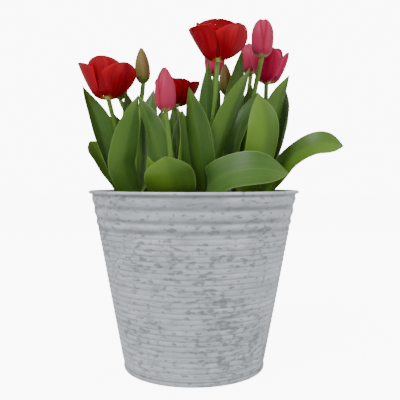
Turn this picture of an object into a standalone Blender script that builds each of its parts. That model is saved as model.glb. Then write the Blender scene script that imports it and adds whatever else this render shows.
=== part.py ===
"""A clump of red tulips growing in a ribbed zinc pot.

Frame: metres, +Z up, origin at the centre of the pot's flat base, -Y towards the front.
Each tulip is three nodes: the buried bulb, the leafy stem and the bloom.
"""

import math

import bmesh
import bpy
from mathutils import Matrix, Vector

# Pot
RIM_RADIUS = 0.1000          # outside of the rolled rim
RIM_BEAD = 0.0015            # radius of the roll itself
POT_HEIGHT = 0.1690
WALL_TOP_RADIUS = 0.0972     # outside of the wall, just under the rim
WALL_FOOT_RADIUS = 0.0665
WALL_THICKNESS = 0.0012
FOOT_SEAM = 0.0010           # how far the crimped base seam stands out
FOOT_SEAM_HEIGHT = 0.0040
WIDE_GROOVES = (0.1350, 0.1435, 0.1547, 0.1655)     # grooves above and below the three wide bands
WIDE_BAND_BULGE = 0.0011
RIB_PITCH = 0.0049
RIB_DEPTH = 0.0008
FIRST_RIB = 0.1300           # height of the highest fine groove
LAST_RIB = 0.0100
POT_SIDES = 24

# Soil and bulbs
SOIL_TOP = 0.1500
SOIL_CLEARANCE = 0.0003
BULB_RADIUS = 0.0140
BULB_HEIGHT = 0.0340
BULB_NOSE = 0.1460           # height of the bulbs' tops
BULB_NOSE_RADIUS = 0.0042
BULB_SIDES = 6
GAP = 0.0003                 # running gap between pieces that touch

# Stems, leaves and petals
STEM_RADIUS = 0.0027
STEM_TAPER = 0.82            # top radius over foot radius
STEM_SIDES = 6
STEM_STATIONS = 8
LEAF_THICKNESS = 0.0011
LEAF_EDGE = 0.0007
LEAF_STATIONS = 7
LEAF_STRIPS = 4
PETAL_THICKNESS = 0.0009
PETAL_SHARES = (0.0, 0.2, 0.45, 0.7, 0.89, 1.0)   # stations along a petal, closer towards its tip
PETAL_STRIPS = 4
PETAL_ROOT = 0.0026          # how far from the axis a petal starts
PETAL_SECTOR = 1.0           # the most that half a petal wraps round the axis, in radians
WHORL_GAP = 0.0026           # how far the inner petals lie inside the outer ones
LAYER_GAP = 0.0006           # how far each petal of a whorl lies inside the one before it
BUD_SIDES = 16
BUD_RINGS = 7

ZINC = (0.56, 0.58, 0.59)
SOIL_BROWN = (0.07, 0.05, 0.035)
BULB_BROWN = (0.42, 0.24, 0.11)
LEAF_GREEN = (0.13, 0.27, 0.08)
RED = (0.55, 0.01, 0.02)
ROSE = (0.58, 0.04, 0.08)
PINK = (0.62, 0.10, 0.18)
BUD_GREEN = (0.34, 0.27, 0.13)


def leaf(tip, via, width, face, attach=0.006, gutter=0.35, widest=0.5, base=0.35, blunt=1.35):
    """One leaf: its tip, the points its midrib passes, its full width and the way its upper side faces.

    attach is the height above the soil where it leaves the stem, gutter how deeply it is channelled,
    widest where along it the width is greatest, base its width at the stem as a share of the greatest, and
    blunt how late it narrows to its tip.
    """
    return dict(tip=tip, via=via, width=width, face=face, attach=attach, gutter=gutter,
                widest=widest, base=base, blunt=blunt)


def bloom(size, width, lean=(0, 0, 1), spin=0.0, shape="open", petals=None, colour=RED):
    """One bloom: its petals' length and width, the way its axis points and the turn of its petals about it.

    petals lists (turn, flare, length share, curl) for each petal of an open bloom, outer ones first: flare
    tips the whole petal outwards, in degrees, and curl its tip alone.
    """
    return dict(size=size, width=width, lean=lean, spin=spin, shape=shape, petals=petals, colour=colour)


# Each shape's slope from the axis, in degrees, where a petal starts, where its bowl ends and at its tip,
# with the share of its length at which the bowl ends and how late the rest of it bends
SHAPES = {
    "open": (88, 22, -8, 0.33, 1.0),
    "half": (88, 18, -10, 0.30, 1.3),
    "bud": (84, 8, -78, 0.30, 2.0),
    "pointed": (84, 14, -52, 0.28, 1.0),
    "tight": (70, 6, -44, 0.30, 1.0),
}
CLOSED = ("bud", "pointed", "tight")

# Where each tulip stands, where its stem passes and ends, its bloom and its leaves
TULIPS = {
    "a": dict(
        foot=(-0.066, 0.008), via=[(-0.071, 0.004, 0.205)], top=(-0.0810, -0.005, 0.2545),
        bloom=bloom(0.047, 0.050, lean=(0.01, 0.02, 1), petals=[(-172, 12, 0.96, 14),
                    (-40, 27, 0.97, -31), (70, 18, 0.96, -14), (-106, 8, 1.03, -6), (14, 16, 0.92, -22),
                    (130, 8, 0.98, -6)]),
        leaves=[
            leaf((-0.106, -0.004, 0.268), [(-0.080, 0.000, 0.190), (-0.092, -0.003, 0.232)], 0.026,
                 (0.7, -0.7, 0.2), gutter=0.6),
            leaf((-0.103, 0.014, 0.217), [(-0.082, 0.016, 0.184)], 0.023, (0.5, -0.8, 0.6), base=0.5,
                 widest=0.7, blunt=2.6),
            leaf((-0.084, 0.024, 0.248), [(-0.070, 0.018, 0.190), (-0.075, 0.024, 0.222)], 0.024,
                 (0.3, 0.9, 0.1)),
        ]),
    "b": dict(
        foot=(-0.052, -0.030), via=[(-0.053, -0.022, 0.205)], top=(-0.0492, 0.006, 0.2720),
        bloom=bloom(0.0400, 0.0148, lean=(-0.06, 0, 1), spin=20, shape="tight", colour=BUD_GREEN),
        leaves=[
            leaf((-0.048, -0.052, 0.252), [(-0.0625, -0.043, 0.188), (-0.0605, -0.048, 0.205),
                 (-0.053, -0.053, 0.236)], 0.0245, (-0.3, 0.9, 0.3), gutter=0.3, widest=0.42, base=0.6),
            leaf((-0.039, 0.004, 0.266), [(-0.044, -0.016, 0.190), (-0.044, -0.006, 0.230)], 0.024,
                 (-0.3, -0.9, 0.2), attach=0.012),
        ]),
    "c": dict(
        foot=(-0.018, -0.050), via=[(-0.020, -0.050, 0.200)], top=(-0.0240, -0.050, 0.2380),
        bloom=bloom(0.0480, 0.0190, lean=(-0.02, 0, 1), spin=-62, shape="pointed", colour=PINK),
        leaves=[
            leaf((-0.050, -0.034, 0.255), [(-0.024, -0.046, 0.185), (-0.036, -0.042, 0.222)], 0.022,
                 (0.5, 0.8, 0.3), attach=0.012),
            leaf((-0.014, -0.036, 0.247), [(-0.011, -0.040, 0.200)], 0.013, (-0.9, -0.2, 0.1),
                 attach=0.02),
            leaf((-0.0225, -0.0790, 0.198), [(-0.0185, -0.067, 0.168), (-0.0205, -0.075, 0.183)], 0.043,
                 (0, 0.85, 0.5), gutter=0.25, widest=0.5, base=0.7, blunt=2.1),
            leaf((-0.039, -0.064, 0.199), [(-0.030, -0.059, 0.174)], 0.015, (0.1, -0.9, 0.3), base=0.5,
                 blunt=1.0),
        ]),
    "d": dict(
        foot=(-0.016, 0.030), via=[(-0.018, 0.033, 0.205)], top=(-0.0200, 0.036, 0.2530),
        bloom=bloom(0.037, 0.044, lean=(0.06, 0.02, 1), spin=25,
                    petals=[(-146, 18, 1.0, -6), (-34, 20, 1.0, 0), (90, 16, 1.0, 0), (-90, 10, 0.94, 0),
                            (30, 10, 0.96, 0), (150, 10, 0.96, 0)]),
        leaves=[
            leaf((-0.012, 0.018, 0.248), [(-0.010, 0.017, 0.190)], 0.025, (0.1, -1, 0.3), attach=0.012),
            leaf((-0.050, 0.062, 0.236), [(-0.030, 0.043, 0.195)], 0.026, (0.5, -0.7, 0.5)),
        ]),
    "e": dict(
        foot=(0.012, -0.015), via=[(0.0150, -0.020, 0.205), (0.0195, -0.024, 0.250)],
        top=(0.0220, -0.022, 0.2870),
        bloom=bloom(0.050, 0.057, lean=(0.01, -0.02, 1), petals=[(-148, 12, 0.79, 26),
                    (-40, 36, 0.92, -46), (90, 4, 1.12, -10), (-94, 8, 0.70, 0), (26, 12, 0.98, -18),
                    (150, 8, 0.92, 4)]),
        leaves=[
            leaf((-0.004, -0.042, 0.261), [(0.008, -0.032, 0.190), (0.003, -0.040, 0.225)], 0.024,
                 (0.3, 0.9, 0.2), gutter=0.3),
            leaf((0.051, -0.028, 0.280), [(0.019, -0.026, 0.200), (0.035, -0.030, 0.243)], 0.022,
                 (-0.5, 0.8, 0.2), attach=0.014),
            leaf((0.082, -0.062, 0.184), [(0.013, -0.046, 0.172), (0.030, -0.060, 0.184),
                 (0.056, -0.067, 0.188)], 0.036, (-0.1, -0.85, 0.55), gutter=0.12, base=0.6, blunt=2.0),
        ]),
    "f": dict(
        foot=(0.048, -0.016), via=[(0.048, -0.010, 0.205), (0.057, -0.002, 0.258)],
        top=(0.0650, 0.000, 0.2960),
        bloom=bloom(0.0465, 0.0215, lean=(0.03, 0, 1), spin=-30, shape="bud", colour=PINK),
        leaves=[
            leaf((0.058, -0.038, 0.256), [(0.058, -0.034, 0.190), (0.063, -0.040, 0.225)], 0.029,
                 (-0.1, 0.9, 0.3), gutter=0.3, widest=0.6, base=0.3, blunt=1.6),
            leaf((0.061, -0.008, 0.262), [(0.038, -0.010, 0.200), (0.046, -0.011, 0.235)], 0.020,
                 (-0.6, -0.7, 0.2), attach=0.014),
        ]),
    "g": dict(
        foot=(0.016, 0.026), via=[(0.022, 0.027, 0.205)], top=(0.0320, 0.025, 0.2640),
        bloom=bloom(0.0360, 0.0130, lean=(-0.05, 0, 1), spin=0, shape="tight", colour=BUD_GREEN),
        leaves=[
            leaf((0.047, 0.014, 0.307), [(0.030, 0.018, 0.200), (0.040, 0.015, 0.255)], 0.022,
                 (-0.3, 0.9, 0.2), attach=0.01),
            leaf((0.014, 0.006, 0.294), [(0.014, 0.010, 0.200), (0.012, 0.008, 0.250)], 0.018,
                 (0.2, 0.9, 0.1), attach=0.01),
        ]),
    "h": dict(
        foot=(0.002, 0.066), via=[(0.008, 0.064, 0.205)], top=(0.0215, 0.060, 0.2890),
        bloom=bloom(0.0430, 0.0220, lean=(0, 0.03, 1), spin=40, shape="bud", colour=PINK),
        leaves=[
            leaf((0.024, 0.044, 0.292), [(0.010, 0.054, 0.210), (0.018, 0.050, 0.255)], 0.022,
                 (0.1, 0.9, 0.1)),
            leaf((-0.024, 0.097, 0.264), [(-0.008, 0.077, 0.195), (-0.016, 0.089, 0.230)], 0.032,
                 (0.2, -0.9, 0.3)),
            leaf((0.032, 0.096, 0.240), [(0.014, 0.076, 0.190), (0.023, 0.088, 0.218)], 0.028,
                 (-0.3, -0.9, 0.3)),
        ]),
    "i": dict(
        foot=(0.046, 0.050), via=[(0.050, 0.055, 0.205)], top=(0.0600, 0.063, 0.2915),
        bloom=bloom(0.0420, 0.0220, lean=(-0.05, 0.03, 1), spin=15, shape="bud", colour=PINK),
        leaves=[
            leaf((0.058, 0.032, 0.276), [(0.050, 0.038, 0.215)], 0.025, (0.1, 0.9, 0.1)),
            leaf((0.066, 0.094, 0.250), [(0.052, 0.066, 0.195), (0.058, 0.082, 0.225)], 0.030,
                 (-0.3, -0.9, 0.3)),
            leaf((0.044, 0.070, 0.302), [(0.043, 0.062, 0.205), (0.044, 0.067, 0.255)], 0.025,
                 (-0.1, -1.0, 0.1)),
        ]),
    "j": dict(
        foot=(0.066, 0.014), via=[(0.070, 0.020, 0.205)], top=(0.0730, 0.032, 0.2755),
        bloom=bloom(0.042, 0.036, lean=(0.10, 0, 1), spin=-20, shape="half", colour=ROSE,
                    petals=[(-84, 4, 1.0, -4), (22, 8, 1.0, 0), (150, 8, 0.94, 0), (-30, 0, 1.0, 0),
                            (84, 0, 1.0, 0), (-156, 2, 0.96, 0)]),
        leaves=[
            leaf((0.092, 0.004, 0.280), [(0.072, 0.006, 0.205), (0.079, 0.004, 0.250)], 0.025,
                 (-0.4, 0.8, 0.3), attach=0.012),
            leaf((0.090, 0.020, 0.272), [(0.082, 0.018, 0.200), (0.092, 0.018, 0.243)], 0.024,
                 (-0.9, -0.3, 0.2), attach=0.01),
            leaf((0.135, -0.036, 0.209), [(0.077, -0.006, 0.178), (0.090, -0.020, 0.198),
                 (0.112, -0.032, 0.211)], 0.026, (-0.3, -0.8, 0.6), gutter=0.2, widest=0.70, base=0.35,
                 blunt=2.2),
            leaf((0.098, 0.052, 0.252), [(0.078, 0.030, 0.195), (0.090, 0.042, 0.228)], 0.026,
                 (-0.7, -0.5, 0.3)),
        ]),
    "k": dict(
        foot=(-0.048, 0.044), via=[(-0.052, 0.044, 0.205)], top=(-0.0770, 0.044, 0.2620),
        bloom=bloom(0.0360, 0.0150, lean=(0, 0.05, 1), spin=0, shape="tight", colour=BUD_GREEN),
        leaves=[
            leaf((-0.069, 0.026, 0.268), [(-0.056, 0.034, 0.200)], 0.024, (0.1, 0.9, 0.1)),
            leaf((-0.088, 0.076, 0.235), [(-0.062, 0.056, 0.190), (-0.076, 0.068, 0.216)], 0.030,
                 (0.6, -0.6, 0.4)),
            leaf((-0.036, 0.079, 0.256), [(-0.044, 0.058, 0.190), (-0.039, 0.070, 0.224)], 0.028,
                 (0.1, -0.9, 0.2)),
        ]),
}


def material(name, colour, roughness, metallic=0.0):
    made = bpy.data.materials.get(name) or bpy.data.materials.new(name)
    made.use_nodes = True
    shader = made.node_tree.nodes["Principled BSDF"]
    shader.inputs["Base Color"].default_value = (*colour, 1.0)
    shader.inputs["Roughness"].default_value = roughness
    shader.inputs["Metallic"].default_value = metallic
    return made


def add_object(name, points, faces, finish=None, collection=None, sharp=45.0):
    """A mesh object from its points and faces."""
    mesh = bpy.data.meshes.new(name)
    mesh.from_pydata([tuple(p) for p in points], [], faces)
    mesh.update()
    mesh.shade_smooth()
    mesh.set_sharp_from_angle(angle=math.radians(sharp))
    if finish:
        mesh.materials.append(finish)
    made = bpy.data.objects.new(name, mesh)
    (collection or bpy.context.scene.collection).objects.link(made)
    return made


def turned(profile, sides, cap_ends=True):
    """Points and faces of a profile of (radius, height), listed from the foot up its outer side and turned."""
    points = []
    for radius, height in profile:
        for k in range(sides):
            angle = 2 * math.pi * k / sides
            points.append((radius * math.cos(angle), radius * math.sin(angle), height))
    faces = []
    for row in range(len(profile) - 1):
        for k in range(sides):
            a, b = row * sides + k, row * sides + (k + 1) % sides
            faces.append((a, b, b + sides, a + sides))
    if cap_ends:
        faces.append(tuple(reversed(range(sides))))
        last = (len(profile) - 1) * sides
        faces.append(tuple(range(last, last + sides)))
    return points, faces


def wall_radius(height):
    """Radius of the pot's outer wall before its bands and ribs."""
    share = height / (POT_HEIGHT - 2 * RIM_BEAD)
    return WALL_FOOT_RADIUS + (WALL_TOP_RADIUS - WALL_FOOT_RADIUS) * share


def pot_profile():
    """(radius, height) up the outside of the pot, over the rolled rim and down the inside."""
    seam = WALL_FOOT_RADIUS + FOOT_SEAM
    profile = [(seam - 0.0008, 0.0), (seam, 0.0008), (seam + 0.0004, FOOT_SEAM_HEIGHT - 0.0008),
               (wall_radius(FOOT_SEAM_HEIGHT), FOOT_SEAM_HEIGHT)]
    grooves = int((FIRST_RIB - LAST_RIB) / RIB_PITCH)
    for k in range(grooves, -1, -1):
        groove = FIRST_RIB - k * RIB_PITCH
        profile.append((wall_radius(groove) - RIB_DEPTH / 2, groove))
        profile.append((wall_radius(groove + RIB_PITCH / 2) + RIB_DEPTH / 2, groove + RIB_PITCH / 2))
    bands = []
    for low, high in zip(WIDE_GROOVES, WIDE_GROOVES[1:]):
        for share, bulge in ((0.0, -0.4), (0.26, 0.7), (0.5, 1.0), (0.74, 0.7)):
            bands.append((low + (high - low) * share, bulge))
    bands.append((WIDE_GROOVES[-1], -0.4))
    outer_bands = [(wall_radius(h) + share * WIDE_BAND_BULGE, h) for h, share in bands]
    profile += outer_bands
    bead_middle = (RIM_RADIUS - RIM_BEAD, POT_HEIGHT - RIM_BEAD)
    for degrees in (-120, -60, 0, 60, 120, 180):
        angle = math.radians(degrees)
        profile.append((bead_middle[0] + RIM_BEAD * math.cos(angle),
                        bead_middle[1] + RIM_BEAD * math.sin(angle)))
    profile += [(r - WALL_THICKNESS, h) for r, h in reversed(outer_bands[::2])]
    inner = WALL_THICKNESS + RIB_DEPTH / 2
    profile.append((wall_radius(FIRST_RIB) - inner, FIRST_RIB))
    profile.append((wall_radius(FIRST_RIB / 2) - inner, FIRST_RIB / 2))
    profile.append((wall_radius(WALL_THICKNESS) - inner, WALL_THICKNESS))
    return profile


def make_pot():
    points, faces = turned(pot_profile(), POT_SIDES)
    return add_object("pot", points, faces, material("zinc", ZINC, 0.45, 1.0), sharp=60)


def cut(solid, cutters, operation="DIFFERENCE"):
    """One Boolean of a collection of cutters on a solid, applied, with the cutters then removed."""
    modifier = solid.modifiers.new("cut", "BOOLEAN")
    modifier.operation = operation
    modifier.operand_type = "COLLECTION"
    modifier.collection = cutters
    modifier.solver = "EXACT"
    bpy.context.view_layer.update()
    graph = bpy.context.evaluated_depsgraph_get()
    result = bpy.data.meshes.new_from_object(solid.evaluated_get(graph))
    solid.modifiers.clear()
    solid.data = result
    for extra in list(cutters.objects):
        bpy.data.objects.remove(extra)
    bpy.data.collections.remove(cutters)
    return solid


def new_collection(name):
    made = bpy.data.collections.new(name)
    bpy.context.scene.collection.children.link(made)
    return made


def make_soil():
    """The potting soil, with a plain hole for each bulb."""
    inner = WALL_THICKNESS + RIB_DEPTH / 2 + SOIL_CLEARANCE
    floor = WALL_THICKNESS + SOIL_CLEARANCE
    groove = WIDE_GROOVES[0]
    lip = WALL_THICKNESS + 0.4 * WIDE_BAND_BULGE + SOIL_CLEARANCE
    profile = [(wall_radius(floor) - inner, floor), (wall_radius(FIRST_RIB / 2) - inner, FIRST_RIB / 2),
               (wall_radius(FIRST_RIB) - inner, FIRST_RIB), (wall_radius(groove) - lip, groove),
               (wall_radius(SOIL_TOP) - lip, SOIL_TOP)]
    points, faces = turned(profile, POT_SIDES)
    soil = add_object("soil", points, faces, material("soil", SOIL_BROWN, 0.95))
    holes = new_collection("holes")
    for name, tulip in TULIPS.items():
        bottom = BULB_NOSE - BULB_HEIGHT - GAP
        hole = [(BULB_RADIUS + GAP, bottom), (BULB_RADIUS + GAP, SOIL_TOP + 0.01)]
        points, faces = turned(hole, BULB_SIDES)
        x, y = tulip["foot"]
        add_object("hole_" + name, [(px + x, py + y, pz) for px, py, pz in points], faces, collection=holes)
    return cut(soil, holes)


def make_bulb(name, foot):
    """A teardrop bulb with a flat nose, which the stem stands on."""
    shares = ((0.35, 0.0), (0.82, 0.12), (0.98, 0.32), (0.93, 0.52), (0.66, 0.76))
    base = BULB_NOSE - BULB_HEIGHT
    profile = [(BULB_RADIUS * r, base + BULB_HEIGHT * h) for r, h in shares]
    profile.append((BULB_NOSE_RADIUS, BULB_NOSE))
    points, faces = turned(profile, BULB_SIDES)
    x, y = foot
    return add_object("bulb_" + name, [(px + x, py + y, pz) for px, py, pz in points], faces,
                      material("bulb_skin", BULB_BROWN, 0.6))


def smooth_curve(points, count):
    """count points, evenly spaced, on a Catmull-Rom curve through the given points."""
    points = [Vector(p) for p in points]
    padded = [2 * points[0] - points[1], *points, 2 * points[-1] - points[-2]]
    fine = []
    steps = 24
    for k in range(1, len(padded) - 2):
        a, b, c, d = padded[k - 1:k + 3]
        for i in range(steps):
            t = i / steps
            fine.append(0.5 * (2 * b + (c - a) * t + (2 * a - 5 * b + 4 * c - d) * t ** 2
                               + (3 * b - a - 3 * c + d) * t ** 3))
    fine.append(points[-1])
    reach = [0.0]
    for a, b in zip(fine, fine[1:]):
        reach.append(reach[-1] + (b - a).length)
    spaced, k = [], 0
    for i in range(count):
        goal = reach[-1] * i / (count - 1)
        while k < len(reach) - 2 and reach[k + 1] < goal:
            k += 1
        span = reach[k + 1] - reach[k]
        spaced.append(fine[k].lerp(fine[k + 1], (goal - reach[k]) / span if span else 0.0))
    return spaced


def tangents(line):
    last = len(line) - 1
    return [(line[min(k + 1, last)] - line[max(k - 1, 0)]).normalized() for k in range(last + 1)]


def tube(line, radii, sides):
    """Points and faces of a closed tube along a line."""
    points, faces = [], []
    across = Vector((0, 1, 0))
    for centre, along, radius in zip(line, tangents(line), radii):
        side = across.cross(along).normalized()
        front = along.cross(side)
        for k in range(sides):
            angle = 2 * math.pi * k / sides
            points.append(centre + radius * (math.cos(angle) * side + math.sin(angle) * front))
    for row in range(len(line) - 1):
        for k in range(sides):
            a, b = row * sides + k, row * sides + (k + 1) % sides
            faces.append((a, b, b + sides, a + sides))
    faces.append(tuple(reversed(range(sides))))
    last = (len(line) - 1) * sides
    faces.append(tuple(range(last, last + sides)))
    return points, faces


def sheet(rows, normals, thickness, edge):
    """Points and triangles of a thin closed blade, from rows of middle points with the way each faces."""
    strips = len(rows[0]) - 1
    count = len(rows) * (strips + 1)
    points = []
    for sign in (0.5, -0.5):
        for row, facing in zip(rows, normals):
            for k, (point, normal) in enumerate(zip(row, facing)):
                outward = abs(2 * k / strips - 1)
                points.append(point + normal * sign * (thickness + (edge - thickness) * outward))
    faces = []

    def at(row, k, side):
        return side * count + row * (strips + 1) + k

    for row in range(len(rows) - 1):
        for k in range(strips):
            corners = [at(row, k, 0), at(row, k + 1, 0), at(row + 1, k + 1, 0), at(row + 1, k, 0)]
            for three in ((0, 1, 2), (0, 2, 3)):
                upper = [corners[i] for i in three]
                faces.append(tuple(upper))
                faces.append(tuple(i + count for i in reversed(upper)))
        for k, flip in ((0, False), (strips, True)):
            wall = [at(row, k, 0), at(row + 1, k, 0), at(row + 1, k, 1), at(row, k, 1)]
            faces.append(tuple(reversed(wall)) if flip else tuple(wall))
    for row, flip in ((0, True), (len(rows) - 1, False)):
        for k in range(strips):
            wall = [at(row, k, 0), at(row, k + 1, 0), at(row, k + 1, 1), at(row, k, 1)]
            faces.append(tuple(wall) if flip is False else tuple(reversed(wall)))
    return points, faces


def leaf_outline(share, widest, base, blunt):
    """Half-width of a leaf at a share of its length, over its greatest half-width."""
    if share < widest:
        return base + (1 - base) * math.sin(math.pi / 2 * share / widest)
    rest = (share - widest) / (1 - widest)
    return max(0.04, math.cos(math.pi / 2 * rest ** blunt))


def leaf_blade(line, data, strips=LEAF_STRIPS):
    """The leaf as a channelled blade along its midrib."""
    face = Vector(data["face"]).normalized()
    rows, normals = [], []
    for k, (centre, along) in enumerate(zip(line, tangents(line))):
        share = k / (len(line) - 1)
        up = (face - along * face.dot(along)).normalized()
        side = along.cross(up)
        half = data["width"] / 2 * leaf_outline(share, data["widest"], data["base"], data["blunt"])
        depth = data["gutter"] * (1.6 - share)
        row, facing = [], []
        for i in range(strips + 1):
            u = 2 * i / strips - 1
            row.append(centre + side * half * u + up * half * depth * (0.4 * abs(u) + 0.6 * u * u))
            slope = depth * (0.4 * math.copysign(1, u) if u else 0.0) + 1.2 * depth * u
            facing.append((up - side * slope).normalized())
        rows.append(row)
        normals.append(facing)
    return sheet(rows, normals, LEAF_THICKNESS, LEAF_EDGE)


def stem_line(tulip, count):
    x, y = tulip["foot"]
    foot = (x, y, BULB_NOSE + GAP)
    return smooth_curve([foot, *tulip["via"], tulip["top"]], count)


def point_at_height(line, height):
    """Where the line passes a height."""
    for a, b in zip(line, line[1:]):
        if b.z >= height:
            return a.lerp(b, (height - a.z) / (b.z - a.z))
    return line[-1]


def make_leafy_stem(name, tulip):
    """A stem with its leaves fused to it."""
    line = stem_line(tulip, STEM_STATIONS)
    radii = [STEM_RADIUS * (1 + (STEM_TAPER - 1) * k / (STEM_STATIONS - 1)) for k in range(STEM_STATIONS)]
    green = material("leaf_green", LEAF_GREEN, 0.5)
    stem = add_object("leafy_stem_" + name, *tube(line, radii, STEM_SIDES), green)
    leaves = new_collection("leaves")
    for k, data in enumerate(tulip["leaves"]):
        start = point_at_height(line, SOIL_TOP + data["attach"])
        midrib = smooth_curve([start, *data["via"], data["tip"]], LEAF_STATIONS)
        add_object(f"leaf_{k}", *leaf_blade(midrib, data), green, collection=leaves)
    return cut(stem, leaves, "UNION")


def petal_outline(share):
    """Half-width of a petal at a share of its length, over its greatest half-width."""
    widest = 0.58
    if share < widest:
        return 0.16 + 0.84 * math.sin(math.pi / 2 * share / widest)
    rest = (share - widest) / (1 - widest)
    return max(0.26, math.sqrt(max(0.0, 1 - rest ** 2.3)))


def petal_profile(size, slopes, flare, curl, shares):
    """(radius, height, slope) at shares of the way up a petal's middle, from the receptacle out."""
    steps = 60
    start, middle, end, turn, late = slopes
    radius, height = PETAL_ROOT, 0.0
    found = [(radius, height, math.radians(start))]
    for k in range(steps):
        share = (k + 0.5) / steps
        if share < turn:
            t = share / turn
            slope = start + (middle + flare - start) * t ** 1.3
        else:
            t = (share - turn) / (1 - turn)
            slope = middle + flare + (end + curl - middle) * t ** late
        slope = math.radians(slope)
        radius += math.sin(slope) * size / steps
        height += math.cos(slope) * size / steps
        found.append((max(radius, 0.0004), height, slope))
    return [found[round(share * steps)] for share in shares]


def petal_blade(data, turn, flare, share, curl, layer, shares=PETAL_SHARES, strips=PETAL_STRIPS):
    """One cupped petal, in the bloom's own frame: +Z along its axis, the receptacle at the origin."""
    profile = petal_profile(data["size"] * share, SHAPES[data["shape"]], flare, curl, shares)
    out = Vector((math.cos(turn), math.sin(turn), 0))
    across = Vector((-math.sin(turn), math.cos(turn), 0))
    inset = WHORL_GAP * (layer // 3) + LAYER_GAP * (layer % 3)
    rows, normals = [], []
    for way, (radius, height, slope) in zip(shares, profile):
        half = data["width"] / 2 * petal_outline(way)
        outward = out * math.cos(slope) - Vector((0, 0, math.sin(slope)))
        bend = max(radius - inset, 0.0012)
        half = min(half, bend * PETAL_SECTOR)
        centre = out * radius + Vector((0, 0, height)) - outward * inset
        row, facing = [], []
        for i in range(strips + 1):
            angle = (2 * i / strips - 1) * half / bend
            row.append(centre + across * bend * math.sin(angle) - outward * bend * (1 - math.cos(angle)))
            facing.append((outward * math.cos(angle) + across * math.sin(angle)).normalized())
        rows.append(row)
        normals.append(facing)
    return sheet(rows, [[-n for n in facing] for facing in normals], PETAL_THICKNESS, PETAL_THICKNESS)


def receptacle():
    """The knob that an open bloom's petals grow from."""
    return turned([(PETAL_ROOT, 0.0), (0.0058, 0.0010), (0.0050, 0.0036), (0.0018, 0.0052)], STEM_SIDES)


def closed_bloom(data):
    """A closed bloom in its own frame: three outer petals in relief over the three inner ones."""
    shares = [k / (BUD_RINGS - 1) for k in range(BUD_RINGS)]
    profile = petal_profile(data["size"], SHAPES[data["shape"]], 0, 0, shares)
    widest = max(radius for radius, _, _ in profile)
    scale = data["width"] / 2 / widest
    points = []
    for share, (radius, height, _) in zip(shares, profile):
        edge = math.radians(66 - 34 * share ** 2)
        for i in range(BUD_SIDES):
            angle = 2 * math.pi * i / BUD_SIDES
            away = abs((angle * 3 / (2 * math.pi) + 0.5) % 1 - 0.5) * 2 * math.pi / 3
            step = min(1.0, max(0.0, (away - edge) / math.radians(10)))
            reach = radius * scale * (1 - 0.14 * step * min(1.0, 3 * share))
            turn = angle + math.radians(data["spin"])
            points.append(Vector((reach * math.cos(turn), reach * math.sin(turn), height)))
    faces = []
    for row in range(BUD_RINGS - 1):
        for i in range(BUD_SIDES):
            a, b = row * BUD_SIDES + i, row * BUD_SIDES + (i + 1) % BUD_SIDES
            faces.append((a, b, b + BUD_SIDES, a + BUD_SIDES))
    faces.append(tuple(reversed(range(BUD_SIDES))))
    last = (BUD_RINGS - 1) * BUD_SIDES
    faces.append(tuple(range(last, last + BUD_SIDES)))
    return points, faces


def keep_largest(solid):
    """Drops loose scraps and fills sealed hollows: only the largest closed surface stays."""
    shape = bmesh.new()
    shape.from_mesh(solid.data)
    islands, seen = [], set()
    for face in shape.faces:
        if face in seen:
            continue
        island, queue = [], [face]
        seen.add(face)
        while queue:
            one = queue.pop()
            island.append(one)
            for edge in one.edges:
                for near in edge.link_faces:
                    if near not in seen:
                        seen.add(near)
                        queue.append(near)
        islands.append(island)
    islands.sort(key=lambda island: sum(face.calc_area() for face in island))
    for island in islands[:-1]:
        bmesh.ops.delete(shape, geom=island, context="FACES")
    shape.to_mesh(solid.data)
    shape.free()


def make_bloom(name, tulip):
    data = tulip["bloom"]
    finish = material("petals_" + name, data["colour"], 0.45)
    if data["shape"] in CLOSED:
        made = add_object("bloom_" + name, *closed_bloom(data), finish)
    else:
        made = add_object("bloom_" + name, *receptacle(), finish)
        petals = new_collection("petals")
        for k, (turn, flare, share, curl) in enumerate(data["petals"]):
            blade = petal_blade(data, math.radians(turn + data["spin"]), flare, share, curl, k)
            add_object(f"petal_{k}", *blade, finish, collection=petals)
        cut(made, petals, "UNION")
        keep_largest(made)
    axis = Vector(data["lean"]).normalized()
    turn = Vector((0, 0, 1)).rotation_difference(axis).to_matrix().to_4x4()
    made.data.transform(Matrix.Translation(Vector(tulip["top"]) + axis * GAP * 3) @ turn)
    return made


def main():
    for old in list(bpy.data.objects):
        bpy.data.objects.remove(old)
    make_pot()
    make_soil()
    for name, tulip in TULIPS.items():
        make_bulb(name, tulip["foot"])
        make_leafy_stem(name, tulip)
        make_bloom(name, tulip)


main()
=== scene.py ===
"""Looks of a clump of red tulips in a ribbed zinc pot.

Frame: metres, +Z up, origin at the centre of the pot's flat base, -Y towards the front.
Each leafy stem and each bloom is grown again on the solid's own curves, with finer, waved blades.
"""

import random
from math import cos, exp, hypot, pi, radians, sin, sqrt

import bpy
from mathutils import Matrix, Vector, noise


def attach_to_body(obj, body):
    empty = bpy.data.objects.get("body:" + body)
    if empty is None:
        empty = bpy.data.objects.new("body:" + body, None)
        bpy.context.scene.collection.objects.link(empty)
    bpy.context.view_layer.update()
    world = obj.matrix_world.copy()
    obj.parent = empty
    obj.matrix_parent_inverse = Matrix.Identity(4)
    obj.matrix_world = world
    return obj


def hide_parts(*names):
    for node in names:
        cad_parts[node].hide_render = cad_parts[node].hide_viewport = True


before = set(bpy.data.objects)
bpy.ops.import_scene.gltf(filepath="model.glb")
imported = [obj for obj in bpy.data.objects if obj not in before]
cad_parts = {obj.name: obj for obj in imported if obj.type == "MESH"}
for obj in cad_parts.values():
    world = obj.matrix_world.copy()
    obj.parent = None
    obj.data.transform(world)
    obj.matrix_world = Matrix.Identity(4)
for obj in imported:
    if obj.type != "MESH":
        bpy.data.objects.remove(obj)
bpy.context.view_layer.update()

# Camera: the photograph's viewing angle
FOCAL_SHARE = 570 / 400      # focal length over the width of the picture
SENSOR_MM = 36
CAMERA_PLACE = (0.0058, -0.55, 0.178)
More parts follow.
